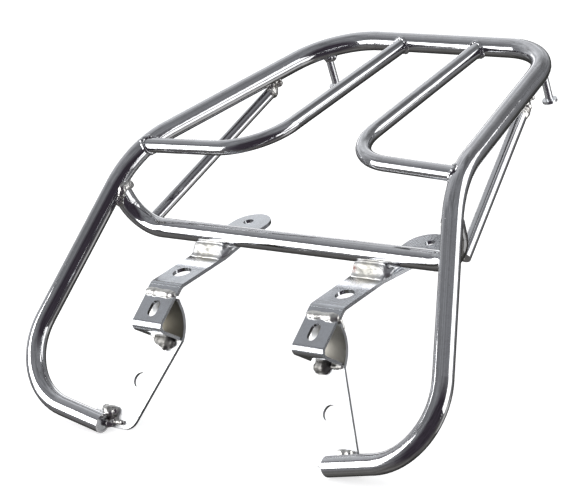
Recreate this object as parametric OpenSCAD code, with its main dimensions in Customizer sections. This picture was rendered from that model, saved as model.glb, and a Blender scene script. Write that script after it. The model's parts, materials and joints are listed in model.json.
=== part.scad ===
// Rear luggage rack for a small motorcycle: a bent main loop with two inner bars, a cross
// tube and two stays, carried by two folded plate brackets.
// Millimetres. X is across the rack, Y points to its rear (tail) end, Z is up.
// The origin lies midway between the two rear ear holes, on the seat face of the straps.

/* [Main loop] */
// Outside diameter of the main loop tube
tube_d = 16; // [15:0.1:17]
// Wall thickness of the main loop tube
tube_wall = 1.6; // [1.2:0.1:2.4]
// Slope of the luggage platform, rising to the rear
platform_pitch = 4; // [3:0.1:5]
// Half width of the platform at its rear corners
rear_half = 112.5; // [108:0.5:116]
// Half width of the platform at its front corners
front_half = 162; // [159:0.5:165]
// Length of the platform from the rear bar to the front corners
platform_len = 208; // [204:0.5:212]
// Centre-line bend radius of the rear corners
rear_bend = 58; // [54:0.5:62]
// Centre-line bend radius of the front corners
front_bend = 90; // [84:0.5:96]
// Centre-line bend radius at the foot of each leg
foot_bend = 54; // [50:0.5:58]

/* [Inner bars and cross tube] */
// Outside diameter of the two inner bars
bar_d = 12; // [11:0.1:13]
// Wall thickness of the inner bars
bar_wall = 1.4; // [1:0.1:2]
// Centre-line bend radius of the inner bars
bar_bend = 48; // [44:0.5:52]
// Outside diameter of the cross tube
cross_d = 16; // [15:0.1:17]
// Centre-line bend radius of the cross tube
cross_bend = 30; // [28:0.5:33]

/* [Stays and cord posts] */
// Diameter of the two stays under the side rails
stay_d = 10; // [9:0.1:11]
// Diameter of the two cord posts
post_d = 6.2; // [5.5:0.1:7]
// Depth of the post ends under the platform centre plane
post_drop = 33; // [28:0.5:38]
// Diameter of the button at the end of each post
button_d = 12; // [10:0.1:14]
// Thickness of the button
button_t = 2.2; // [1.6:0.1:3]

/* [Brackets] */
// Thickness of the straps
strap_t = 3; // [2.5:0.1:3.5]
// Width of the straps
strap_w = 32; // [30:0.5:34]
// Distance of each strap centre line from the middle of the rack
strap_x = 82; // [81:0.5:83]
// Diameter of the rear ear holes
ear_hole_d = 8.5; // [8:0.1:9]
// Distance between the two rear ear holes
ear_spacing = 186; // [184:0.5:188]
// Diameter of the large strap holes
strap_hole_d = 15; // [12:0.1:16]
// Thickness of the folded hook and ramp plates
sheet_t = 2.5; // [2:0.1:3]
// Diameter of the hole in each ramp plate
ramp_hole_d = 12.6; // [10:0.1:14]
// Width of the long hole in each hook plate
hook_slot_w = 9; // [7:0.1:10]
// Overall length of the long hole in each hook plate
hook_slot_len = 14.5; // [12:0.1:16]

/* [Hidden] */
$fn = 64;

steel = [0.72, 0.73, 0.76];
plate = [0.62, 0.65, 0.69];
weld = [0.55, 0.54, 0.52];
big = 60;              // length of a clearing cut
swell = 0.1;           // how much a bend is fuller than the straight runs beside it
nest = 0.2;            // how far a straight run enters a bend

// Rear bar centre, the datum the platform hangs from
rear_y = 171;
rear_z = 92.4;

// A point of the platform frame: x across, b forward of the rear bar, h above the platform
function at(x, b, h) = [x, rear_y - b * cos(platform_pitch) - h * sin(platform_pitch),
    rear_z - b * sin(platform_pitch) + h * cos(platform_pitch)];

function unit(v) = v / norm(v);
function turn(a, b, c) = acos(unit(b - a) * unit(c - b));
function setback(a, b, c, r) = r * tan(turn(a, b, c) / 2);

// Main loop corners from the left foot to the right foot
foot_x = 217.3;
foot_b = 360.1;
foot_h = -137.6;
end_x = 115;
end_b = 366.1;
end_h = -155.8;
loop_half = [at(end_x, end_b, end_h), at(foot_x, foot_b, foot_h),
    at(front_half, platform_len, 0), at(rear_half, 0, 0)];
function flip(p) = [-p[0], p[1], p[2]];
loop_pts = [flip(loop_half[0]), flip(loop_half[1]), flip(loop_half[2]), flip(loop_half[3]),
    loop_half[3], loop_half[2], loop_half[1], loop_half[0]];
loop_r = [0, foot_bend, front_bend, rear_bend, rear_bend, front_bend, foot_bend, 0];

// Inner bar corners, right side
bar_rear_x = 38.6;
bar_front_x = 42.7;
bar_front_b = 193;
bar_end_b = 199;
bar_pts = [at(bar_rear_x, 0, 0), at(bar_front_x, bar_front_b, 0), at(159, bar_end_b, -1.5)];
bar_r = [0, bar_bend, 0];

// Cross tube corners
cross_b = 225.2;
cross_h = -61;
cross_x = 163.7;
cross_top = at(170, 230, -24);
cross_pts = [flip(cross_top), at(-cross_x, cross_b, cross_h), at(cross_x, cross_b, cross_h),
    cross_top];
cross_r = [0, cross_bend, cross_bend, 0];

// Stay ends, right side
stay_top = at(129, 77, -13.2);
stay_foot = at(158.8, 216.3, -61.4);
plug_t = 3;
plug_inset = 0.4;

// Cord post, under the middle of the rear corner bend
post_angle = 42;
rail_slope = (front_half - rear_half) / platform_len;
corner_x = rear_half + rail_slope * rear_bend - rear_bend * sqrt(1 + rail_slope * rail_slope);
post_x = corner_x + rear_bend * cos(post_angle);
post_b = rear_bend - rear_bend * sin(post_angle);

// Bracket profile in the Y-Z plane
front_slope = 32.5;
fold = [0, -112.3, 1.5];
fold_r = 6;
front_dir = [0, -cos(front_slope), -sin(front_slope)];
strap_end = fold + front_dir * 8;
hook_top = fold + front_dir * 9.6 + [0, -0.13, 0.2];
hook_toe = [0, -146.2, -19.95];
hook_back = [0, -124.6, -38.6];
toe_r = 5;
ramp_slope = 47;
ramp_dir = [0, -cos(ramp_slope), -sin(ramp_slope)];
rear_top = [0, -119.4, -6.6];
rear_knee = [0, -115.8, -28.7];
knee_r = 30;
ramp_len = 90;         // from the knee corner to the foot of the plate
ramp_in = 0.33;
ramp_out = 0.56;
ramp_hole_x = 97;
ramp_hole_s = 50;
ramp_corner_r = 11;
strap_hole_x = 83;
strap_hole_y = -93;
ear_x = ear_spacing / 2;
saddle_len = 20;
saddle_top = 13;

// Round bar from p to q
module rod(p, q, d) {
    v = q - p;
    translate(p)
        rotate([0, acos(v[2] / norm(v)), atan2(v[1], v[0])])
            cylinder(h = norm(v), d = d);
}

// Bend of radius r at corner b, sweeping the outline given as child
module elbow(a, b, c, r) {
    into = unit(b - a);
    n = unit(cross(into, c - b));
    inward = cross(n, into);
    start = b - into * setback(a, b, c, r);
    tilt = acos(n[2]);
    swing = atan2(n[1], n[0]);
    out_x = [cos(tilt) * cos(swing), cos(tilt) * sin(swing), -sin(tilt)];
    out_y = [-sin(swing), cos(swing), 0];
    translate(start + inward * r)
        rotate([0, tilt, swing])
            rotate([0, 0, atan2(-inward * out_y, -inward * out_x)])
                rotate_extrude(angle = turn(a, b, c))
                    translate([r, 0])
                        children();
}

function leg_start(pts, r, i) = i == 0 ? pts[0]
    : pts[i] + unit(pts[i + 1] - pts[i]) * setback(pts[i - 1], pts[i], pts[i + 1], r[i]);
function leg_end(pts, r, i) = i == len(pts) - 2 ? pts[i + 1]
    : pts[i + 1] - unit(pts[i + 1] - pts[i]) * setback(pts[i], pts[i + 1], pts[i + 2], r[i + 1]);

// Straight run number i of a bent rod, its ends nested into the bends beside it
module run(pts, r, i, d) {
    a = leg_start(pts, r, i);
    b = leg_end(pts, r, i);
    along = unit(b - a) * nest;
    rod(i == 0 ? a : a - along, i == len(pts) - 2 ? b : b + along, d);
}

// Bend number i of a bent rod
module bend(pts, r, i, d) {
    elbow(pts[i - 1], pts[i], pts[i + 1], r[i])
        circle(d = d + swell);
}

// Whole bent tube with open ends
module bent_tube(pts, r, d, wall) {
    for (i = [0 : len(pts) - 2]) {
        difference() {
            run(pts, r, i, d);
            run(pts, r, i, d - 2 * wall);
        }
    }
    for (i = [1 : len(pts) - 2]) {
        elbow(pts[i - 1], pts[i], pts[i + 1], r[i])
            difference() {
                circle(d = d + swell);
                circle(d = d - 2 * wall - swell);
            }
    }
}

// Mirror image for the left side
module side(s) {
    if (s > 0) {
        children();
    } else {
        mirror([1, 0, 0])
            children();
    }
}

// Main loop: feet, legs, side rails and rear bar in one tube
module main_loop() {
    color(steel)
        bent_tube(loop_pts, loop_r, tube_d, tube_wall);
}

// Solid main loop on the right side, grown by g, used to cut and shape joints
module loop_front(g) {
    bend(loop_pts, loop_r, 5, tube_d + g);
    run(loop_pts, loop_r, 5, tube_d + g);
}

module inner_bar() {
    difference() {
        bent_tube(bar_pts, bar_r, bar_d, bar_wall);
        run(loop_pts, loop_r, 3, tube_d);
        bend(loop_pts, loop_r, 5, tube_d);
        run(loop_pts, loop_r, 4, tube_d);
    }
}

module inner_bar_right() {
    color(steel)
        inner_bar();
}

module inner_bar_left() {
    color(steel)
        side(-1)
            inner_bar();
}

// Cross tube under the platform, its ends turned up to the legs
module cross_tube() {
    color(steel)
        difference() {
            bent_tube(cross_pts, cross_r, cross_d, tube_wall);
            loop_front(0);
            mirror([1, 0, 0])
                loop_front(0);
        }
}

module stay() {
    difference() {
        rod(stay_top, stay_foot, stay_d);
        bend(cross_pts, cross_r, 2, cross_d);
        run(cross_pts, cross_r, 1, cross_d);
        run(loop_pts, loop_r, 4, tube_d);
    }
}

module stay_right() {
    color(steel)
        stay();
}

module stay_left() {
    color(steel)
        side(-1)
            stay();
}

module post() {
    difference() {
        rod(at(post_x, post_b, -post_drop), at(post_x, post_b, 0), post_d);
        bend(loop_pts, loop_r, 4, tube_d);
    }
}

module post_right() {
    color(steel)
        post();
}

module post_left() {
    color(steel)
        side(-1)
            post();
}

// Buttons that keep a cord on the posts
module post_buttons() {
    color(steel)
        for (s = [-1, 1]) {
            side(s) {
                rod(at(post_x, post_b, -post_drop - button_t), at(post_x, post_b, -post_drop),
                    button_d);
            }
        }
}

// Flat length of a folded sheet from p to q, w wide and t thick
module sheet_run(p, q, w, t) {
    v = q - p;
    translate(p)
        rotate([atan2(v[2], v[1]), 0, 0])
            translate([-w / 2, 0, -t / 2])
                cube([w, norm(v), t]);
}

// Fold of mean radius r at corner b
module sheet_fold(a, b, c, r, w, t) {
    elbow(a, b, c, r)
        square([t + swell, w + swell], center = true);
}

// Plan outline of the strap with its widened, rounded ear
module strap_plan() {
    ear_r = 17.5;
    ear_cx = 90;
    ear_cy = -2.5;
    inner = strap_x - strap_w / 2;
    outer = strap_x + strap_w / 2;
    polygon([[inner, -100], [outer, -100], [outer, -66], [ear_cx + ear_r, -24],
        [ear_cx + ear_r, ear_cy], [ear_cx - ear_r, ear_cy], [ear_cx - ear_r, -20], [inner, -60]]);
    translate([ear_cx, ear_cy])
        circle(r = ear_r);
}

module strap() {
    fold_set = fold_r * tan(front_slope / 2);
    flat_end = fold[1] + fold_set;
    mid = [strap_x, 0, 0];
    difference() {
        union() {
            linear_extrude(height = strap_t)
                strap_plan();
            translate([strap_x - strap_w / 2, flat_end - nest, 0])
                cube([strap_w, nest - 100 - flat_end, strap_t]);
            sheet_fold(mid + [0, 0, fold[2]], mid + fold, mid + strap_end, fold_r, strap_w,
                strap_t);
            sheet_run(mid + fold + front_dir * (fold_set - nest), mid + strap_end, strap_w,
                strap_t);
        }
        translate([ear_x, 0, -big / 2])
            cylinder(h = big, d = ear_hole_d);
        translate([strap_hole_x, strap_hole_y, -big / 2])
            cylinder(h = big, d = strap_hole_d);
    }
}

module strap_right() {
    color(plate)
        strap();
}

module strap_left() {
    color(plate)
        side(-1)
            strap();
}

// Saddle block between the strap and the cross tube
module saddle() {
    mid = at(0, cross_b, cross_h);
    difference() {
        translate([strap_x - strap_w / 2 + 1, mid[1] - saddle_len / 2, strap_t])
            cube([strap_w - 2, saddle_len, saddle_top - strap_t]);
        run(cross_pts, cross_r, 1, cross_d);
    }
}

module saddle_right() {
    color(plate)
        saddle();
}

module saddle_left() {
    color(plate)
        side(-1)
            saddle();
}

// Hook plate: sloping front, rolled toe and the sole that runs back to the ramp plate
module hook_sheet() {
    mid = [strap_x, 0, 0];
    w = strap_w - 2;
    set = setback(hook_top, hook_toe, hook_back, toe_r) - nest;
    sheet_run(mid + hook_top, mid + hook_toe - unit(hook_toe - hook_top) * set, w, sheet_t);
    sheet_fold(mid + hook_top, mid + hook_toe, mid + hook_back, toe_r, w, sheet_t);
    sheet_run(mid + hook_toe + unit(hook_back - hook_toe) * set, mid + hook_back, w, sheet_t);
}

module hook() {
    pitch = (hook_slot_len - hook_slot_w) / 2;
    centre = [strap_x - 0.5, -131.5, -10.2];
    difference() {
        hook_sheet();
        ramp_sheet();
        translate(centre)
            rotate([180 + front_slope, 0, 0]) {
                translate([0, pitch, -8])
                    cylinder(h = 16, d = hook_slot_w);
                translate([0, -pitch, -8])
                    cylinder(h = 16, d = hook_slot_w);
                translate([-hook_slot_w / 2, -pitch, -8])
                    cube([hook_slot_w, 2 * pitch, 16]);
            }
    }
}

module hook_right() {
    color(plate)
        hook();
}

module hook_left() {
    color(plate)
        side(-1)
            hook();
}

// Ramp plate: bulged back of the hook, then a widening ramp down to the foot of the leg
module ramp_sheet() {
    mid = [strap_x, 0, 0];
    w = strap_w;
    set = setback(rear_top, rear_knee, rear_knee + ramp_dir, knee_r) - nest;
    sheet_run(mid + rear_top, mid + rear_knee - unit(rear_knee - rear_top) * set, w, sheet_t);
    sheet_fold(mid + rear_top, mid + rear_knee, mid + rear_knee + ramp_dir, knee_r, w, sheet_t);
    translate(rear_knee)
        rotate([180 + ramp_slope, 0, 0])
            translate([0, 0, -sheet_t / 2])
                linear_extrude(height = sheet_t)
                    ramp_plan(set);
}

// Outline of the ramp, Y along the slope from the knee corner
module ramp_plan(from) {
    inner = strap_x - strap_w / 2;
    outer = strap_x + strap_w / 2;
    r = ramp_corner_r;
    c_y = ramp_len - r;
    c_x = inner + ramp_in * (c_y - from) + r * sqrt(1 + ramp_in * ramp_in);
    steps = 10;
    arc = 90 - atan(ramp_in);
    difference() {
        polygon(concat([[inner, from], [outer, from],
            [outer + ramp_out * (ramp_len - from), ramp_len]],
            [for (k = [0 : steps]) [c_x + r * cos(90 + arc * k / steps),
                c_y + r * sin(90 + arc * k / steps)]]));
        translate([ramp_hole_x, ramp_hole_s])
            circle(d = ramp_hole_d);
    }
}

module ramp() {
    difference() {
        ramp_sheet();
        run(loop_pts, loop_r, 6, tube_d);
    }
}

module ramp_right() {
    color(plate)
        ramp();
}

module ramp_left() {
    color(plate)
        side(-1)
            ramp();
}

// Weld collars where the inner bars meet the rear bar and the side rails
module bar_welds() {
    grow = 4.4;
    raise = 3.6;
    difference() {
        intersection() {
            run(loop_pts, loop_r, 3, tube_d + raise);
            rod(bar_pts[0], bar_pts[0] + unit(bar_pts[1] - bar_pts[0]) * 20, bar_d + grow);
        }
        run(loop_pts, loop_r, 3, tube_d);
        run(bar_pts, bar_r, 0, bar_d);
    }
    difference() {
        intersection() {
            bend(loop_pts, loop_r, 5, tube_d + raise);
            rod(bar_pts[2] - unit(bar_pts[2] - bar_pts[1]) * 20, bar_pts[2], bar_d + grow);
        }
        bend(loop_pts, loop_r, 5, tube_d);
        run(bar_pts, bar_r, 1, bar_d);
    }
}

module welds_bars() {
    color(weld)
        for (s = [-1, 1]) {
            side(s)
                bar_welds();
        }
}

// Weld collars at the ends of the cross tube
module welds_cross() {
    down = unit(cross_pts[2] - cross_top);
    color(weld)
        for (s = [-1, 1]) {
            side(s)
                difference() {
                    rod(cross_top, cross_top + down * 12, cross_d + 2.6);
                    loop_front(0);
                    run(cross_pts, cross_r, 2, cross_d);
                }
        }
}

// Weld lumps at both ends of the stays
module stay_welds() {
    up = unit(stay_top - stay_foot);
    difference() {
        rod(stay_top - up * 6, stay_top + up * 4, stay_d + 3.6);
        rod(stay_top, stay_foot, stay_d);
        run(loop_pts, loop_r, 4, tube_d);
    }
    difference() {
        rod(stay_foot + up * 7, stay_foot, stay_d + 3);
        bend(cross_pts, cross_r, 2, cross_d);
        rod(stay_top, stay_foot - up, stay_d);
    }
}

module welds_stays() {
    color(weld)
        for (s = [-1, 1]) {
            side(s)
                stay_welds();
        }
}

// Weld collars at the tops of the cord posts
module welds_posts() {
    color(weld)
        for (s = [-1, 1]) {
            side(s)
                difference() {
                    intersection() {
                        bend(loop_pts, loop_r, 4, tube_d + 4.4);
                        rod(at(post_x, post_b, -14), at(post_x, post_b, 0), post_d + 4.4);
                    }
                    bend(loop_pts, loop_r, 4, tube_d);
                    rod(at(post_x, post_b, -15), at(post_x, post_b, 0), post_d);
                }
        }
}

// Weld beads of one bracket: across the fold, behind it, under the sole and at the saddle
module bracket_welds() {
    x0 = strap_x - strap_w / 2 + 2;
    len_x = strap_w - 4;
    difference() {
        union() {
            rod([x0, -120.6, -2.8], [x0 + len_x, -120.6, -2.8], 5.4);
            rod([x0, -120.3, -6.8], [x0 + len_x, -120.3, -6.8], 4);
        }
        strap();
        hook_sheet();
        ramp_sheet();
    }
    difference() {
        rod([strap_x - 7, -129.6, -39.8], [strap_x + 6, -129.6, -39.8], 10);
        hook_sheet();
        ramp_sheet();
        translate(rear_knee)
            rotate([180 + ramp_slope, 0, 0])
                translate([0, -10, 0])
                    cube([2 * big + 40, 2 * big, big]);
    }
}

module welds_hook_right() {
    color(weld)
        bracket_welds();
}

module welds_hook_left() {
    color(weld)
        side(-1)
            bracket_welds();
}

// Weld bead between the foot of the leg and the ramp plate
module foot_weld() {
    p = loop_pts[7];
    q = loop_pts[6];
    along = unit(q - p);
    difference() {
        intersection() {
            rod(p - along * 2, p + along * 24, tube_d + 5);
            translate(rear_knee)
                rotate([180 + ramp_slope, 0, 0])
                    translate([0, ramp_len - 34, -sheet_t / 2 - 6])
                        cube([3 * big, 34, 6]);
        }
        rod(p - along * 3, p + along * 30, tube_d);
    }
}

module welds_foot_right() {
    color(weld)
        foot_weld();
}

module welds_foot_left() {
    color(weld)
        side(-1)
            foot_weld();
}

// Plugs that close the cut ends of the main loop
module foot_plugs() {
    p = loop_pts[0];
    along = unit(loop_pts[1] - p);
    color(steel)
        for (s = [-1, 1]) {
            side(s)
                rod(p + along * plug_inset, p + along * (plug_inset + plug_t), tube_d - 2 * tube_wall);
        }
}

main_loop();
inner_bar_left();
inner_bar_right();
cross_tube();
stay_left();
stay_right();
post_left();
post_right();
post_buttons();
strap_left();
strap_right();
saddle_left();
saddle_right();
hook_left();
hook_right();
ramp_left();
ramp_right();
welds_bars();
welds_cross();
welds_stays();
welds_posts();
welds_hook_left();
welds_hook_right();
welds_foot_left();
welds_foot_right();
foot_plugs();
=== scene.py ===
import bpy, bmesh, json, math, random
from mathutils import Matrix, Vector, noise

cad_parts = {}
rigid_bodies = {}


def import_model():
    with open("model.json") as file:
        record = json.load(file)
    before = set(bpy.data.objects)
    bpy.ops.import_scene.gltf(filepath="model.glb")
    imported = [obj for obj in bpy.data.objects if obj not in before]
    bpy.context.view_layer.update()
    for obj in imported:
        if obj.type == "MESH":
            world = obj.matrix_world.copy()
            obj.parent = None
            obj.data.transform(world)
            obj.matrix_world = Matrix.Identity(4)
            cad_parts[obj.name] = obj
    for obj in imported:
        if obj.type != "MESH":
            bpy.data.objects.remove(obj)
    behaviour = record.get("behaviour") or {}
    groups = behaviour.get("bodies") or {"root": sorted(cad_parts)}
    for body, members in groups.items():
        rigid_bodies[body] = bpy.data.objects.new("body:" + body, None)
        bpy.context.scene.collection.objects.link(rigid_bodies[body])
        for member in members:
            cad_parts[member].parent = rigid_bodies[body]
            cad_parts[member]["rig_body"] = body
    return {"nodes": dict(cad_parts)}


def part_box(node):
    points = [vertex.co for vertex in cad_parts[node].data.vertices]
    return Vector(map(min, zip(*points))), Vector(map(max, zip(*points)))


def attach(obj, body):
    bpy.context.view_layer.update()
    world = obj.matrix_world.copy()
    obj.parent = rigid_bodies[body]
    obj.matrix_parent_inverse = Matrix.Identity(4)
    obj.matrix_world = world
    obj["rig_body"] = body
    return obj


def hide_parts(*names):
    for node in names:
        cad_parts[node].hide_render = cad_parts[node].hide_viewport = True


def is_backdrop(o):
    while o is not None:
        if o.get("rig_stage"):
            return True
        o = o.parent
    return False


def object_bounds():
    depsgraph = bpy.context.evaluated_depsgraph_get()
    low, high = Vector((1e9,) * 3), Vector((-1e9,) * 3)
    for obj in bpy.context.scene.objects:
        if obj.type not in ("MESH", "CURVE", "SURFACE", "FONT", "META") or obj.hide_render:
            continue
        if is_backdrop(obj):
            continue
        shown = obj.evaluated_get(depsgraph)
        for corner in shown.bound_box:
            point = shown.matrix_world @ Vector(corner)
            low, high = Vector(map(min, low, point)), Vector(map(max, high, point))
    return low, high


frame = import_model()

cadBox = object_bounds()  # the whole rack before any dressing
nodes = frame["nodes"]
print("rack loaded:", len(nodes), "parts")

cameraView = {
    "place": (1.35092, -1.41075, 0.78105),
    "turn": (67.583, 12.3137, 39.8536),  # degrees about X, Y and Z
    "lens": 166.87,
    "clip": (0.05, 60.0),
}
cameraData = bpy.data.cameras.new("rackCamera")
cameraData.lens = cameraView["lens"]
cameraData.clip_start, cameraData.clip_end = cameraView["clip"]
camera = bpy.data.objects.new("rackCamera", cameraData)
camera.location = cameraView["place"]
camera.rotation_euler = [math.radians(a) for a in cameraView["turn"]]
bpy.context.scene.collection.objects.link(camera)
bpy.context.scene.camera = camera
print("camera set")


class Wire:  # one socket of a node tree, so that shader maths reads as sums
    def __init__(self, paint, socket):
        self.paint = paint
        self.socket = socket

    def sum(self, operation, other, clamp=False):
        settings = {"operation": operation, "use_clamp": clamp}
        return self.paint.add("ShaderNodeMath", settings, {0: self, 1: other})

    def __add__(self, other):
        return self.sum("ADD", other)

    def __sub__(self, other):
        return self.sum("SUBTRACT", other)

    def __rsub__(self, other):
        return self.paint.add("ShaderNodeMath", {"operation": "SUBTRACT"}, {0: other, 1: self})

    def __mul__(self, other):
        return self.sum("MULTIPLY", other)

    __radd__ = __add__
    __rmul__ = __mul__

    def step(self, low, high):  # 0 below low, 1 above high, smooth between
        settings = {"interpolation_type": "SMOOTHSTEP"}
        return self.paint.add("ShaderNodeMapRange", settings, {0: self, 1: low, 2: high})


class Paint:  # a node tree being filled
    def __init__(self, tree):
        self.tree = tree
        tree.nodes.clear()

    def add(self, kind, settings=None, values=None, out=0):
        node = self.tree.nodes.new(kind)
        for key, value in (settings or {}).items():
            setattr(node, key, value)
        for key, value in (values or {}).items():
            socket = node.inputs[key]
            if isinstance(value, Wire):
                self.tree.links.new(value.socket, socket)
            else:
                socket.default_value = value
        return Wire(self, node.outputs[out]) if len(node.outputs) else None

    def blendColours(self, factor, low, high):
        return self.add("ShaderNodeMix", {"data_type": "RGBA"}, {0: factor, 6: low, 7: high}, out=2)

    def noise(self, coords, scale, detail, rough):
        values = {"Vector": coords, "Scale": scale, "Detail": detail, "Roughness": rough}
        return self.add("ShaderNodeTexNoise", {}, values)

    def stretch(self, coords, scale, turn=(0.0, 0.0, 0.0)):
        return self.add("ShaderNodeMapping", {}, {"Vector": coords, "Rotation": turn, "Scale": scale})

    def bump(self, height, strength, depth):
        return self.add("ShaderNodeBump", {}, {"Strength": strength, "Distance": depth, "Height": height})

    def near(self, coords, points, inner, outer):  # 1 beside any of the points, 0 further off
        total = None
        for point in points:
            gap = self.add("ShaderNodeVectorMath", {"operation": "DISTANCE"}, {0: coords, 1: point}, out=1)
            mask = 1.0 - gap.step(inner, outer)
            total = mask if total is None else total.sum("MAXIMUM", mask)
        return total


def colour(r, g, b):
    return (r, g, b, 1.0)


def newFinish(name):
    material = bpy.data.materials.new(name)
    material.use_nodes = True
    return material, Paint(material.node_tree)


def closeFinish(paint, values):
    shader = paint.add("ShaderNodeBsdfPrincipled", {}, values)
    paint.add("ShaderNodeOutputMaterial", {}, {"Surface": shader})


def closeMetal(paint, tone, rough, normal):
    closeFinish(paint, {"Base Color": tone, "Metallic": 1.0, "Roughness": rough, "Normal": normal})


tubeChrome = {
    "bright": (0.66, 0.665, 0.68),
    "dull": (0.52, 0.51, 0.52),
    "pit": (0.16, 0.13, 0.11),
    "roughness": 0.06,
    "haze": 0.09,
    "scratches": (900.0, 60.0, 900.0),  # fine, and drawn out along one line
    "scratchTurn": (0.3, 0.1, 0.6),
    "bump": 0.30,
    "bumpDepth": 0.0007,
}


def makeTubeChrome(name):
    material, paint = newFinish(name)
    coords = paint.add("ShaderNodeTexCoord", out=3)
    cloud = paint.noise(coords, 38.0, 4.0, 0.55)  # patchy plating
    fine = paint.noise(coords, 420.0, 3.0, 0.6)  # frosting
    pits = paint.add("ShaderNodeTexVoronoi", {}, {"Vector": coords, "Scale": 240.0, "Randomness": 1.0})
    pitMask = 1.0 - pits.step(0.05, 0.16)
    pitMask = pitMask * paint.noise(coords, 60.0, 2.0, 0.5).step(0.56, 0.66)  # only in some places
    along = paint.stretch(coords, tubeChrome["scratches"], tubeChrome["scratchTurn"])
    scratch = paint.noise(along, 1.0, 2.0, 0.5)
    scratchMask = scratch.step(0.66, 0.72)
    haze = cloud.step(0.42, 0.68) * 0.35 + fine.step(0.45, 0.75) * 0.3 + scratch.step(0.45, 0.75) * 0.2
    tone = paint.blendColours(haze, colour(*tubeChrome["bright"]), colour(*tubeChrome["dull"]))
    tone = paint.blendColours(pitMask * 0.7, tone, colour(*tubeChrome["pit"]))
    rough = haze * tubeChrome["haze"] + tubeChrome["roughness"] + pitMask * 0.3 + scratchMask * 0.05
    ripple = paint.noise(coords, 70.0, 2.0, 0.4)  # the tube was never quite true
    height = ripple * 0.9 + fine * 0.05 - pitMask * 0.25 - scratchMask * 0.04
    closeMetal(paint, tone, rough, paint.bump(height, tubeChrome["bump"], tubeChrome["bumpDepth"]))
    return material


plateChrome = {
    "bright": (0.66, 0.68, 0.71),
    "dull": (0.55, 0.56, 0.575),
    "frosted": (0.95, 0.955, 0.96),
    "rust": (0.34, 0.07, 0.035),
    "roughness": 0.11,
    "haze": 0.12,
    "rolled": (420.0, 34.0, 420.0),  # rolling lines along Y
    "rustReach": (0.0016, 0.0050),
    # heat tint beside a weld; the hooks and ramps reuse these entries for painted shade
    "tintAndShadeReach": (0.004, 0.020),
    "tintAndShadeTone": (0.55, 0.51, 0.40),
    "tintAndShadeDepth": 0.85,
    "bump": 0.12,
    "bumpDepth": 0.0006,
}


def makePlateChrome(name, tintAndShadeAt=(), tintAndShade=None, rustAt=(), satin=0.0, lift=0.0):
    # satin roughens the plating, lift whitens it, and the tone laid beside the given points is heat tint
    # by the welds and painted shade inside the hooks
    look = {**plateChrome, **(tintAndShade or {})}
    material, paint = newFinish(name)
    coords = paint.add("ShaderNodeTexCoord", out=3)
    cloud = paint.noise(coords, 46.0, 4.0, 0.6)
    fine = paint.noise(coords, 520.0, 3.0, 0.65)
    rolled = paint.noise(paint.stretch(coords, look["rolled"]), 1.0, 3.0, 0.5)
    haze = cloud.step(0.38, 0.70) * 0.6 + fine.step(0.4, 0.8) * 0.4
    tone = paint.blendColours(haze, colour(*look["bright"]), colour(*look["dull"]))
    if lift:
        tone = paint.blendColours(lift, tone, colour(*look["frosted"]))
    rough = haze * look["haze"] + (look["roughness"] + satin) + rolled * 0.06
    # heat tint by the welds, and painted shade inside the hooks
    if tintAndShadeAt:
        tintAndShadeMask = paint.near(coords, tintAndShadeAt, *look["tintAndShadeReach"]) * (cloud * 0.9 + 0.3)
        depth = tintAndShadeMask.sum("MULTIPLY", look["tintAndShadeDepth"], clamp=True)
        tone = paint.blendColours(depth, tone, colour(*look["tintAndShadeTone"]))
        rough = rough + tintAndShadeMask * 0.1
    if rustAt:
        rust = paint.near(coords, rustAt, *look["rustReach"]) * fine.step(0.38, 0.56)
        tone = paint.blendColours(rust.sum("MULTIPLY", 0.8, clamp=True), tone, colour(*look["rust"]))
        rough = rough + rust * 0.3
    height = cloud * 0.4 + fine * 0.03 + rolled * 0.05
    closeMetal(paint, tone, rough, paint.bump(height, look["bump"], look["bumpDepth"]))
    return material


weldFinish = {
    "bright": (0.78, 0.77, 0.74),
    "dull": (0.40, 0.38, 0.36),
    "scale": (0.20, 0.15, 0.11),
    # painted shade: the dark tone laid on the weld lumps under each hook's toe
    "shadeTone": (0.16, 0.155, 0.145),
    "shadeReach": (0.009, 0.016),
    "roughness": 0.18,
    "bump": 0.3,
    "bumpDepth": 0.0006,
}


def makeWeldMetal(name, shadeAt=(), patchy=1.0, frost=0.0):
    material, paint = newFinish(name)
    coords = paint.add("ShaderNodeTexCoord", out=3)
    cloud = paint.noise(coords, 160.0, 4.0, 0.6)
    fine = paint.noise(coords, 900.0, 3.0, 0.65)
    patches = cloud.step(0.50, 0.66) * patchy
    tone = paint.blendColours(patches, colour(*weldFinish["bright"]), colour(*weldFinish["dull"]))
    tone = paint.blendColours(fine.step(0.62, 0.72) * 0.6, tone, colour(*weldFinish["scale"]))
    rough = patches * 0.22 + fine * 0.12 + (weldFinish["roughness"] + frost)
    if shadeAt:
        # painted shade under the hook's toe, darkening the weld lumps beside these points
        shadeMask = paint.near(coords, shadeAt, *weldFinish["shadeReach"])
        tone = paint.blendColours(shadeMask * 0.85, tone, colour(*weldFinish["shadeTone"]))
        rough = rough + shadeMask * 0.12
    height = cloud * 0.8 + fine * 0.15
    closeMetal(paint, tone, rough, paint.bump(height, weldFinish["bump"], weldFinish["bumpDepth"]))
    return material


def onBoth(x, y, z):  # the same place on the right and the left bracket
    return [(x, y, z), (-x, y, z)]


tubeMetal = makeTubeChrome("tubeChrome")
smoothWeld = makeTubeChrome("platedWeld")
weldMetal = makeWeldMetal("weldMetal")
# the dark tone on the lumps under each hook's toe is painted shade
hookWeldMetal = makeWeldMetal("hookWeldMetal", onBoth(0.082, -0.129, -0.042), patchy=0.25, frost=0.12)
print("weld and tube finishes mixed")

platform = {"rearY": 0.171, "rearZ": 0.0924, "pitch": 4.0}  # the rack's own lines, in metres


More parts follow.
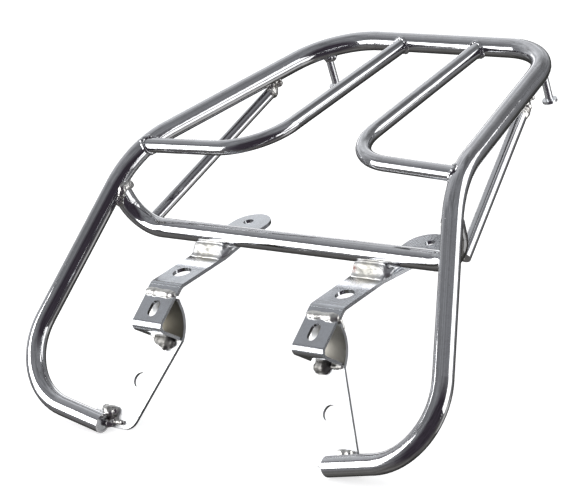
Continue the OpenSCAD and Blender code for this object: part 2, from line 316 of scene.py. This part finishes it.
def onRack(x, forward, up):  # x, distance forward of the rear bar, height above the platform, in mm
    c, s = math.cos(math.radians(platform["pitch"])), math.sin(math.radians(platform["pitch"]))
    forward, up = forward / 1000, up / 1000
    y = platform["rearY"] - forward * c - up * s
    z = platform["rearZ"] - forward * s + up * c
    return Vector((x / 1000, y, z))


def flip(point):
    return Vector((-point[0], point[1], point[2]))


def bentLine(corners, radii, gap=0.001):  # centre line of a bent tube as close points
    points = []
    last = corners[0]
    for i in range(1, len(corners) - 1):
        into = (corners[i] - corners[i - 1]).normalized()
        away = (corners[i + 1] - corners[i]).normalized()
        turn = into.angle(away)
        radius = radii[i - 1]
        start = corners[i] - into * radius * math.tan(turn / 2)
        inward = (away - into * into.dot(away)).normalized()
        centre = start + inward * radius
        count = max(2, int((start - last).length / gap))
        points += [last.lerp(start, k / count) for k in range(count)]
        count = max(2, int(turn * radius / gap))
        for k in range(count):
            t = turn * k / count
            points.append(centre + (into * math.sin(t) - inward * math.cos(t)) * radius)
        last = centre + (into * math.sin(turn) - inward * math.cos(turn)) * radius
    count = max(2, int((corners[-1] - last).length / gap))
    return points + [last.lerp(corners[-1], k / count) for k in range(count + 1)]


tubes = {"loop": 0.008, "cross": 0.008, "bar": 0.006, "stay": 0.005, "post": 0.0031}  # radii
legEnd, legCorner = onRack(115, 366.1, -155.8), onRack(217.3, 360.1, -137.6)
railFront, railRear = onRack(162, 208, 0), onRack(112.5, 0, 0)
loopLine = bentLine([legEnd, legCorner, railFront, railRear, onRack(-20, 0, 0)], [0.054, 0.090, 0.058])
crossEnd, crossCorner = onRack(170, 230, -24), onRack(163.7, 225.2, -61)
crossLine = bentLine([crossEnd, crossCorner, onRack(0, 225.2, -61)], [0.030])
barRear, barCorner, barFront = onRack(38.6, 0, 0), onRack(42.7, 193, 0), onRack(159, 199, -1.5)
stayTop, stayFoot = onRack(129, 77, -13.2), onRack(158.8, 216.3, -61.4)

beads = {
    "voxel": 0.00045,
    "nearby": 0.05,  # how much of a tube's line a seam is looked for along
    "walk": (0.030, 0.0005, 90),  # how far back the search starts, its step and how many steps
    "proud": 0.15,  # how far a seam's beads stand off the bar, as a part of their size
    "seamSwing": (0.86, 0.30),  # the smallest bead, and how much larger others come out
    "rowSwing": (0.84, 0.32),
    "coarseScale": 260.0,
    "fineScale": 900.0,
    "fineShift": (7.0, 3.0, 1.0),
    "fine": 0.00010,
    "seed": 11,
}


def seam(start, along, radius, line, lineRadius, count, size, chance):
    # bead centres where a bar of this radius, running along, meets the tube that follows line
    nearby = [p for p in line if (p - start).length < beads["nearby"]]
    back, stride, strides = beads["walk"]
    least, more = beads["seamSwing"]
    along = along.normalized()
    first = along.orthogonal().normalized()
    second = along.cross(first)
    spots = []
    for k in range(count):
        angle = 2 * math.pi * k / count
        side = first * math.cos(angle) + second * math.sin(angle)
        for j in range(strides):  # walk up the bar until it enters the tube
            spot = start + side * radius + along * (j * stride - back)
            if min((spot - p).length for p in nearby) < lineRadius:
                place = spot + side * size * beads["proud"]
                spots.append((place, size * (least + more * chance.random())))
                break
    return spots


def row(first, last, count, size, chance, wander):  # beads in a line from first to last
    least, more = beads["rowSwing"]
    spots = []
    for k in range(count):
        spot = Vector(first).lerp(Vector(last), k / max(1, count - 1))
        drift = Vector([chance.uniform(-wander, wander) for i in range(3)])
        spots.append((spot + drift, size * (least + more * chance.random())))
    return spots


def shifted(point, by):
    return [a + b for a, b in zip(point, by)]


def mirrored(spots):
    return [(flip(place), radius) for place, radius in spots]


def resized(spots, factor, shift=Vector((0, 0, 0))):
    return [(place + shift, radius * factor) for place, radius in spots]


def makeWeld(name, replaced, spots, material, lumps, soften, blocks=(), voxel=beads["voxel"]):
    bm = bmesh.new()
    for place, radius in spots:
        bmesh.ops.create_icosphere(bm, subdivisions=2, radius=radius, matrix=Matrix.Translation(place))
    for lowCorner, highCorner, taper in blocks:  # solid filler under the beads, narrower at the top
        centre, size = (Vector(lowCorner) + Vector(highCorner)) / 2, Vector(highCorner) - Vector(lowCorner)
        place = Matrix.Translation(centre) @ Matrix.Diagonal((*size, 1.0))
        made = bmesh.ops.create_cube(bm, size=1.0, matrix=place)
        top = [v for v in made["verts"] if v.co.z > centre.z]
        bmesh.ops.scale(bm, vec=(taper, taper, 1.0), space=Matrix.Translation(-centre), verts=top)
    mesh = bpy.data.meshes.new(name)
    bm.to_mesh(mesh)
    bm.free()
    piece = bpy.data.objects.new(name, mesh)
    bpy.context.scene.collection.objects.link(piece)
    melt = piece.modifiers.new("melt", "REMESH")
    melt.mode = "VOXEL"
    melt.voxel_size = voxel
    melted = piece.evaluated_get(bpy.context.evaluated_depsgraph_get())
    piece.data = bpy.data.meshes.new_from_object(melted)
    piece.modifiers.clear()
    piece.data.name = name
    bm = bmesh.new()
    bm.from_mesh(piece.data)
    axes = {"use_axis_x": True, "use_axis_y": True, "use_axis_z": True}
    for k in range(soften):
        bmesh.ops.smooth_vert(bm, verts=bm.verts, factor=0.5, **axes)
    bm.normal_update()
    for v in bm.verts:
        coarse = noise.noise(v.co * beads["coarseScale"])
        fine = noise.noise(v.co * beads["fineScale"] + Vector(beads["fineShift"]))
        v.co += v.normal * (coarse * lumps + fine * beads["fine"])
    for f in bm.faces:
        f.smooth = True
    bm.to_mesh(piece.data)
    bm.free()
    piece.data.materials.append(material)
    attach(piece, "root")
    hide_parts(replaced)
    print(name, len(piece.data.polygons), "faces")


barWelds = {
    "size": 0.0017,
    "count": 40,
    "runOut": 1.35,  # how much larger the run-out lumps underneath are
    "below": 0.003,  # how far under the bar's middle they start
    "frontBelow": 0.0765,  # and the height they start at by the front joint
    "lumps": 0.0003,
    "soften": 4,
}
chance = random.Random(beads["seed"])
spots = []
for side in (1, -1):
    ring = []
    for end in (barRear, barFront):
        ring += seam(
            end, end - barCorner, tubes["bar"], loopLine, tubes["loop"],
            barWelds["count"], barWelds["size"], chance,
        )
    under = [
        spot for spot in ring
        if spot[0].z < barRear.z - barWelds["below"]
        or (spot[0].y < 0 and spot[0].z < barWelds["frontBelow"])
    ]
    ring += resized(under[::3], barWelds["runOut"])
    spots += ring if side > 0 else mirrored(ring)
makeWeld("barWelds", "welds_bars", spots, smoothWeld, barWelds["lumps"], barWelds["soften"])

crossWelds = {
    "size": 0.0023,
    "count": 44,
    "inside": 0.002,  # how far inward of the tube's end the full-sized beads begin
    "outsideSize": 0.62,
    "rightSize": 0.72,  # the neater of the two joints
    "leftSize": 1.2,
    "second": (0.0022, 1.15),  # drop and size of the second pass
    "lowerDrop": 0.006,
    "lower": ((-0.001, -0.0085, 0.001), (0.006, -0.0070, -0.006), 6, 0.0030, 0.0010),
    "lumps": 0.0006,
    "soften": 4,
}
crossAlong = (crossEnd - crossCorner).normalized()
spots = []
for side in (1, -1):
    ring = seam(
        crossEnd, crossEnd - crossCorner, tubes["cross"], loopLine, tubes["loop"],
        crossWelds["count"], crossWelds["size"], chance,
    )
    edge = crossEnd.x - crossWelds["inside"]
    inner = [spot for spot in ring if spot[0].x < edge]
    if side > 0:
        spots += resized(inner, crossWelds["rightSize"])
        continue
    outside = crossWelds["outsideSize"]
    ring = [(place, radius * (1.0 if place.x < edge else outside)) for place, radius in ring]
    drop, second = crossWelds["second"]
    ring += resized(inner[::2], second, crossAlong * -drop)
    ring = resized(ring, crossWelds["leftSize"])
    first, last, count, size, wander = crossWelds["lower"]
    low = crossEnd - crossAlong * crossWelds["lowerDrop"]
    ring += row(low + Vector(first), low + Vector(last), count, size, chance, wander)
    spots += mirrored(ring)
makeWeld("crossWelds", "welds_cross", spots, weldMetal, crossWelds["lumps"], crossWelds["soften"])

stayWelds = {
    "size": 0.0020,
    "count": 30,
    "plug": (0.004, 0.003, 5, 0.0052, 0.0010),  # how far below and above the joint, then as a row
    "tail": ((0.003, 0.004, 0.002), (-0.004, 0.009, 0.004), 4, 0.0026, 0.0010),
    "footSize": 0.0017,
    "footCount": 26,
    "footRise": 0.002,
    "lumps": 0.0006,
    "soften": 4,
}
stayAlong = (stayTop - stayFoot).normalized()
spots = []
for side in (1, -1):
    ring = seam(
        stayTop, stayAlong, tubes["stay"], loopLine, tubes["loop"],
        stayWelds["count"], stayWelds["size"], chance,
    )
    below, above, count, size, wander = stayWelds["plug"]
    ring += row(stayTop - stayAlong * below, stayTop + stayAlong * above, count, size, chance, wander)
    first, last, count, size, wander = stayWelds["tail"]
    ring += row(stayTop + Vector(first), stayTop + Vector(last), count, size, chance, wander)
    ring += seam(
        stayFoot + stayAlong * stayWelds["footRise"], -stayAlong, tubes["stay"], crossLine, tubes["cross"],
        stayWelds["footCount"], stayWelds["footSize"], chance,
    )
    spots += ring if side > 0 else mirrored(ring)
makeWeld("stayWelds", "welds_stays", spots, weldMetal, stayWelds["lumps"], stayWelds["soften"])

postWelds = {
    "size": 0.0028,
    "count": 22,
    "second": (0.0024, 0.6),  # drop and size of the second pass
    "lumps": 0.00025,
    "soften": 4,
    "voxel": 0.0004,
}
postUp = onRack(0, 0, 10) - onRack(0, 0, 0)
spots = []
for name in ("post_right", "post_left"):
    lowCorner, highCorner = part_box(name)
    top = Vector(((lowCorner.x + highCorner.x) / 2, highCorner.y - tubes["post"], highCorner.z))
    line = loopLine if name == "post_right" else [flip(p) for p in loopLine]
    ring = seam(
        top, postUp, tubes["post"], line, tubes["loop"],
        postWelds["count"], postWelds["size"], chance,
    )
    drop, second = postWelds["second"]
    spots += ring + resized(ring, second, postUp.normalized() * -drop)
makeWeld(
    "postWelds", "welds_posts", spots, smoothWeld, postWelds["lumps"], postWelds["soften"],
    voxel=postWelds["voxel"],
)
print("tube welds laid")

bracket = {
    "strapX": 0.082,
    "kneeY": -0.1158,
    "kneeZ": -0.0287,
    "slope": 47.0,  # degrees, of the ramp plate
    "rust": (0.0685, -0.0600, 0.0060),
}
slope = math.radians(bracket["slope"])
downRamp = Vector((0.0, -math.cos(slope), -math.sin(slope)))
offRamp = Vector((0.0, -math.sin(slope), math.cos(slope)))


def onRamp(x, down, off):  # x, distance down the ramp plate from its knee, height off its middle, in mm
    knee = Vector((x / 1000, bracket["kneeY"], bracket["kneeZ"]))
    return knee + downRamp * (down / 1000) + offRamp * (off / 1000)


# each row is its first and last bead, how many, their size and how far they wander
hookWelds = {  # x from the strap's middle line
    "fold": [
        ((-0.0118, -0.1201, -0.0026), (0.0122, -0.1201, -0.0022), 13, 0.0038, 0.0004),
        ((-0.0100, -0.1206, -0.0050), (-0.0030, -0.1206, -0.0050), 5, 0.0022, 0.0005),
        ((0.0030, -0.1206, -0.0048), (0.0085, -0.1204, -0.0046), 4, 0.0022, 0.0005),
        ((0.0130, -0.1165, -0.0030), (0.0150, -0.1172, -0.0110), 5, 0.0018, 0.0004),
    ],
    "left": [
        ((-0.0060, -0.1290, -0.0398), (0.0060, -0.1284, -0.0402), 5, 0.0049, 0.0012),
        ((-0.0095, -0.1310, -0.0395), (-0.0030, -0.1325, -0.0425), 4, 0.0024, 0.0012),
    ],
    "right": [((-0.0045, -0.1290, -0.0402), (-0.0015, -0.1286, -0.0404), 2, 0.0054, 0.0003)],
    "sole": [((0.0060, -0.1275, -0.0400), (0.0135, -0.1262, -0.0392), 6, 0.0022, 0.0006)],
    "lumps": 0.00030,
    "soften": 15,
}
footWelds = {  # places as onRamp takes them
    "seam": [((117, 83.5, 2.6), (140, 83.5, 2.6), 14, 0.0021, 0.0004)],
    "left": [  # a heavy lump, and a bead that runs on past the tube
        ((112, 78, 4.6), (119, 79, 4.6), 4, 0.0048, 0.0012),
        ((111, 86, 3.6), (114, 90, 5.0), 4, 0.0030, 0.0008),
        ((112, 84.5, 2.6), (101.5, 85.5, 2.0), 8, 0.0024, 0.0005),
    ],
    "right": [((120, 78.5, 3.2), (127, 78.5, 3.2), 4, 0.003456, 0.0010)],
    "lumps": 0.0007,
    "soften": 6,
}
for side, name in ((1, "right"), (-1, "left")):
    chance = random.Random(beads["seed"] + side)
    spots = []
    strap = (bracket["strapX"], 0.0, 0.0)
    for first, last, count, size, wander in hookWelds["fold"] + hookWelds[name] + hookWelds["sole"]:
        spots += row(shifted(first, strap), shifted(last, strap), count, size, chance, wander)
    spots = spots if side > 0 else mirrored(spots)
    lumps, soften = hookWelds["lumps"], hookWelds["soften"]
    makeWeld("hookWelds_" + name, "welds_hook_" + name, spots, hookWeldMetal, lumps, soften)
    spots = []
    for first, last, count, size, wander in footWelds["seam"] + footWelds[name]:
        spots += row(onRamp(*first), onRamp(*last), count, size, chance, wander)
    spots = spots if side > 0 else mirrored(spots)
    lumps, soften = footWelds["lumps"], footWelds["soften"]
    makeWeld("footWelds_" + name, "welds_foot_" + name, spots, weldMetal, lumps, soften)

saddleWelds = {
    "tintAndShadeTone": (0.60, 0.57, 0.48),
    "satin": 0.24,
    "lift": 0.35,
    "filler": {"inset": 0.0012, "topInset": 0.0006, "taper": 0.96},
    "fillet": {  # slopes from the tube down to the strap
        "passes": 6, "count": 13, "start": 0.0015, "run": 0.0048, "drop": 0.0030, "fall": 0.0036,
        "size": 0.0024, "shrink": 0.0004, "inset": 0.0008, "wander": 0.0003,
    },
    "toe": {  # feathered out over the strap
        "passes": 3, "count": 21, "start": 0.0040, "run": 0.0014, "rise": 0.0002, "fall": 0.0003,
        "size": 0.0017, "shrink": 0.0003, "outset": 0.0004, "wander": 0.0004,
    },
    "ends": {"count": 11, "size": 0.0016, "inset": (0.0004, 0.001), "rise": 0.0008, "wander": 0.0002},
    # a bead that runs off the outer front corner
    "tail": ((0.001, -0.0015, 0.002), (0.003, 0.0040, 0.004), 5, 0.0024, 0.0008),
    "voxel": 0.0006,
    "lumps": 0.00018,
    "soften": 34,
}
saddleMetal = makePlateChrome(
    "saddleMetal", onBoth(0.082, -0.0600, 0.006), {"tintAndShadeTone": saddleWelds["tintAndShadeTone"]},
    [bracket["rust"]], saddleWelds["satin"], saddleWelds["lift"],
)
for side, name in ((1, "right"), (-1, "left")):
    chance = random.Random(beads["seed"] + 5 * side)
    (x0, y0, z0), (x1, y1, z1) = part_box("saddle_" + name)
    filler = saddleWelds["filler"]
    inset, top = filler["inset"], z1 - filler["topInset"]
    blocks = [((x0 + inset, y0 + inset, z0), (x1 - inset, y1 - inset, top), filler["taper"])]
    spots = []
    fillet = saddleWelds["fillet"]
    for k in range(fillet["passes"]):
        t = k / (fillet["passes"] - 1)
        out = fillet["start"] - fillet["run"] * t
        z = z1 - fillet["drop"] - (z1 - z0 - fillet["fall"]) * t
        size = fillet["size"] - fillet["shrink"] * t
        for y in (y0 + out, y1 - out):
            first, last = (x0 + fillet["inset"], y, z), (x1 - fillet["inset"], y, z)
            spots += row(first, last, fillet["count"], size, chance, fillet["wander"])
    toe = saddleWelds["toe"]
    for k in range(toe["passes"]):
        out = toe["start"] + toe["run"] * k
        z = z0 + toe["rise"] - toe["fall"] * k
        size = toe["size"] - toe["shrink"] * k
        for y in (y0 - out, y1 + out):
            first, last = (x0 - toe["outset"], y, z), (x1 + toe["outset"], y, z)
            spots += row(first, last, toe["count"], size, chance, toe["wander"])
    ends = saddleWelds["ends"]
    z = z0 + ends["rise"]
    for x in (x0 + ends["inset"][0], x1 - ends["inset"][0]):
        first, last = (x, y0 + ends["inset"][1], z), (x, y1 - ends["inset"][1], z)
        spots += row(first, last, ends["count"], ends["size"], chance, ends["wander"])
    first, last, count, size, wander = saddleWelds["tail"]
    corner = (x1, y0, z0)
    spots += row(shifted(first, corner), shifted(last, corner), count, size, chance, wander)
    makeWeld(
        "saddleWeld_" + name, "saddle_" + name, spots, saddleMetal, saddleWelds["lumps"],
        saddleWelds["soften"], blocks, saddleWelds["voxel"],
    )
print("bracket welds laid")

plates = {
    "edge": 0.00045,
    "segments": 3,
    "sharp": 40.0,  # degrees, the least fold or corner that is eased
    "flat": 0.5,  # degrees, below which neighbouring faces are one
    "sideways": 0.6,  # how much of its normal is along X on a sheared side face
    "satin": {"ramp": 0.27, "cut": 0.16},
    "rampLift": 0.85,
}
# painted shade inside the hooks, and a dark tone on the sheared edges
shadeAndEdgeTones = {
    "hook": {"tintAndShadeReach": (0.004, 0.018), "tintAndShadeTone": (0.17, 0.155, 0.125)},
    "cut": {"tintAndShadeReach": (0.30, 0.60), "tintAndShadeTone": (0.10, 0.10, 0.105)},  # a dark tone over the sheared side faces
    "ramp": {"tintAndShadeReach": (0.0140, 0.0215), "tintAndShadeDepth": 1.7},
}
rampPaintedShade = {  # painted shade inside the hook, its middle and its tone, much darker on the left bracket than the right
    "left": ((-0.074, -0.1185, -0.0235), (0.15, 0.138, 0.11)),
    "right": ((0.090, -0.1185, -0.0235), (0.34, 0.325, 0.29)),
}
plateMetal = makePlateChrome("plateChrome", onBoth(0.082, -0.0615, 0.003), rustAt=[bracket["rust"]])
# painted shade darkens the inside of each hook
hookMetal = makePlateChrome("hookChrome", onBoth(0.086, -0.1240, -0.034), shadeAndEdgeTones["hook"])
cutEdge = makePlateChrome(
    "cutEdge", onBoth(0.090, -0.150, -0.065), shadeAndEdgeTones["cut"], satin=plates["satin"]["cut"],
)
rampMetal = {}
# painted shade inside each hook, darker on the left bracket than the right
for name, (place, tone) in rampPaintedShade.items():
    rampMetal[name] = makePlateChrome(
        "rampChrome_" + name, [place], {**shadeAndEdgeTones["ramp"], "tintAndShadeTone": tone},
        satin=plates["satin"]["ramp"], lift=plates["rampLift"],
    )


def makePlate(node, material, edgeMaterial=None):  # the plate again, with its edges eased
    bm = bmesh.new()
    bm.from_mesh(nodes[node].data)
    bmesh.ops.remove_doubles(bm, verts=bm.verts, dist=1e-6)
    flat = math.radians(plates["flat"])
    bmesh.ops.dissolve_limit(bm, angle_limit=flat, verts=bm.verts, edges=bm.edges)
    sharp = math.radians(plates["sharp"])
    edges = [e for e in bm.edges if len(e.link_faces) == 2 and e.calc_face_angle(0.0) > sharp]
    bmesh.ops.bevel(
        bm, geom=edges, offset=plates["edge"], offset_type="OFFSET", segments=plates["segments"],
        profile=0.5, affect="EDGES", material=-1, clamp_overlap=True,
    )
    for f in bm.faces:
        f.smooth = True
    mesh = bpy.data.meshes.new(node + "_plate")
    bm.to_mesh(mesh)
    bm.free()
    piece = bpy.data.objects.new(node + "_plate", mesh)
    bpy.context.scene.collection.objects.link(piece)
    mesh.materials.append(material)
    if edgeMaterial:  # the sheared side faces
        mesh.materials.append(edgeMaterial)
        for face in mesh.polygons:
            face.material_index = 1 if abs(face.normal.x) > plates["sideways"] else 0
    piece.modifiers.new("flatShade", "WEIGHTED_NORMAL").keep_sharp = True
    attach(piece, "root")
    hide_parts(node)


for name in ("left", "right"):
    makePlate("strap_" + name, plateMetal)
    makePlate("hook_" + name, hookMetal)
    makePlate("ramp_" + name, rampMetal[name], cutEdge)
print("plates eased")


def dress(node, material):  # a carried-over part takes the finish in each of its slots
    mesh = nodes[node].data
    if not mesh.materials:
        mesh.materials.append(material)
    for i in range(len(mesh.materials)):
        mesh.materials[i] = material


for node in nodes:
    dress(node, tubeMetal)
dress("foot_plugs", makePlateChrome("plugMetal"))
postMetal = makePlateChrome("postMetal", satin=0.12, lift=0.5)  # whiter than the tubes
for node in nodes:
    if node.startswith("post"):
        dress(node, postMetal)
print("finishes on")

studio = {
    "floorSize": 30.0,
    "floorColour": (0.86, 0.86, 0.855),
    "floorGlow": 0.70,  # a floor lit from below, so the shadows stay faint
    "overheadSize": 16.0,
    "overheadHeight": 5.0,
    "overheadRadiance": 0.50,
}
middle = (cadBox[0] + cadBox[1]) / 2
bm = bmesh.new()
bmesh.ops.create_grid(bm, x_segments=1, y_segments=1, size=studio["floorSize"] / 2)
bmesh.ops.translate(bm, verts=bm.verts, vec=(0.0, 0.0, cadBox[0][2]))
floorMesh = bpy.data.meshes.new("floor")
bm.to_mesh(floorMesh)
bm.free()
floor = bpy.data.objects.new("floor", floorMesh)
bpy.context.scene.collection.objects.link(floor)
floorMaterial, floorPaint = newFinish("paleFloor")
closeFinish(floorPaint, {
    "Base Color": colour(*studio["floorColour"]),
    "Roughness": 0.9,
    "Emission Color": colour(1.0, 1.0, 1.0),
    "Emission Strength": studio["floorGlow"],
})
floorMesh.materials.append(floorMaterial)
floor.visible_glossy = False  # the plating mirrors the studio, not the floor
floor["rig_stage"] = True


def bearing(azimuth, elevation):  # degrees, azimuth from +X towards +Y
    a, e = math.radians(azimuth), math.radians(elevation)
    return Vector((math.cos(a) * math.cos(e), math.sin(a) * math.cos(e), math.sin(e)))


def addPanel(name, width, height, place, radiance, roll=0.0, mirroredOnly=True):
    # a lamp that faces the rack, seen either only in mirrored light or only by matt surfaces
    lamp = bpy.data.lights.new(name, "AREA")
    lamp.shape = "RECTANGLE"
    lamp.size = width
    lamp.size_y = height
    lamp.energy = radiance * math.pi * width * height
    item = bpy.data.objects.new(name, lamp)
    item.location = place
    aim = (Vector(place) - middle).to_track_quat("Z", "Y")
    item.rotation_euler = (aim.to_matrix() @ Matrix.Rotation(math.radians(roll), 3, "Z")).to_euler()
    item.visible_camera = False
    item.visible_glossy = mirroredOnly
    item.visible_diffuse = not mirroredOnly
    bpy.context.scene.collection.objects.link(item)


panels = {  # width, height, azimuth, elevation, distance, radiance, roll
    "leftBox": (0.80, 0.62, -128.5, 11.0, 0.95, 4.8, 0.0),
    "rightBox": (0.66, 1.28, 27.0, 6.0, 0.95, 1.9, -45.0),
    "rightLow": (0.40, 0.42, 40.0, -42.0, 0.95, 0.45, 0.0),
    "backGlow": (0.9, 0.6, 136.0, 4.0, 1.5, 0.9, 0.0),
}
for name, (width, height, azimuth, elevation, distance, radiance, roll) in panels.items():
    addPanel(name, width, height, middle + bearing(azimuth, elevation) * distance, radiance, roll)
size, above = studio["overheadSize"], Vector((0, 0, studio["overheadHeight"]))
addPanel("overhead", size, size, middle + above, studio["overheadRadiance"], mirroredOnly=False)

roomTones = {
    "ceiling": (0.27, 0.275, 0.29),
    "ground": (0.15, 0.145, 0.14),
    "fade": (-0.1, 0.8),  # from the ceiling's tone to the ground's
    "horizon": (-0.42, 0.02),  # the bright wall fades out downwards between these
    "clutter": (2.6, 2.6, 7.5),  # a workshop, softly out of focus
}
roomPatches = {  # azimuth, elevation, where it starts and is full, strength, tone
    "darkNear": (-42, -5, 0.30, 0.82, 1.0, (0.050, 0.042, 0.055)),
    "brightWall": (138, 20, 0.52, 0.97, 0.9, (0.78, 0.795, 0.82)),
    "darkRight": (85, 30, 0.80, 0.97, 0.6, (0.14, 0.14, 0.145)),
    "darkUnder": (125, -42, 0.55, 0.92, 1.0, (0.045, 0.045, 0.042)),
}
world = bpy.data.worlds.new("studioRoom")
bpy.context.scene.world = world
world.use_nodes = True
room = Paint(world.node_tree)
direction = room.add("ShaderNodeTexCoord", out=0)


def towards(azimuth, elevation, low, high):
    values = {0: direction, 1: bearing(azimuth, elevation)}
    return room.add("ShaderNodeVectorMath", {"operation": "DOT_PRODUCT"}, values, out=1).step(low, high)


ceiling, ground = colour(*roomTones["ceiling"]), colour(*roomTones["ground"])
roomTone = room.blendColours(towards(0, -90, *roomTones["fade"]), ceiling, ground)
for name, (azimuth, elevation, low, high, strength, tone) in roomPatches.items():
    patch = towards(azimuth, elevation, low, high) * strength
    if name == "brightWall":
        patch = patch * towards(0, 90, *roomTones["horizon"])
    roomTone = room.blendColours(patch, roomTone, colour(*tone))
clutter = room.noise(room.stretch(direction, roomTones["clutter"]), 1.0, 4.0, 0.6) * 2.4 - 0.2
roomTone = room.add("ShaderNodeVectorMath", {"operation": "SCALE"}, {0: roomTone, "Scale": clutter})
backdrop = room.add("ShaderNodeBackground", {}, {"Color": roomTone, "Strength": 1.0})
room.add("ShaderNodeOutputWorld", {}, {"Surface": backdrop})
bpy.context.scene.view_settings.view_transform = "Standard"
print("studio lit")

for item in list(bpy.data.objects):
    if item.get("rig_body") is None and item.type == "MESH" and not item.get("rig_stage"):
        print("loose piece:", item.name)
